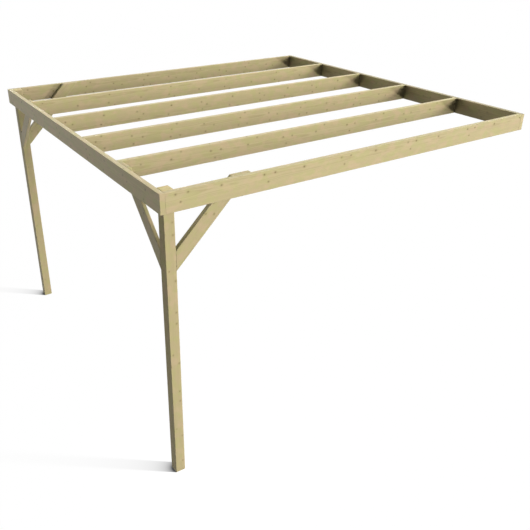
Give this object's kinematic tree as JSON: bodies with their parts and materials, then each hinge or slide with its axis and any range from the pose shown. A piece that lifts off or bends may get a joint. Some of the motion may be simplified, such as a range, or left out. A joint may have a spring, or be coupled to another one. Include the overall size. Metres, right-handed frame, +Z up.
{
  "type": "wall-mounted wooden pergola",
  "caption": "Open flat roof frame of planed timber, bolted to a wall along its back and carried in front on square posts with bevelled knee braces.",
  "frame": {"origin": "middle of the wall plate's back face, the face that is fastened to the wall", "axes": "+X to the right along the wall seen from the garden, +Y into the wall, +Z up"},
  "size_m": [3, 3.15, 2.09],
  "materials": {
    "frame_timber": "planed, pressure-treated pine, matt",
    "rafter_timber": "planed, pressure-treated pine, matt",
    "post_timber": "planed, pressure-treated pine, matt",
    "brace_timber": "planed, pressure-treated pine, matt"
  },
  "bodies": {
    "root": {"wall_plate": "frame_timber", "front_beam": "frame_timber", "end_rafter_left": "rafter_timber", "end_rafter_right": "rafter_timber", "rafter_1": "rafter_timber", "rafter_2": "rafter_timber", "rafter_3": "rafter_timber", "rafter_4": "rafter_timber", "post_left": "post_timber", "post_right": "post_timber", "side_brace_left": "brace_timber", "side_brace_right": "brace_timber", "front_brace_left": "brace_timber", "front_brace_right": "brace_timber"}
  },
  "joints": []
}
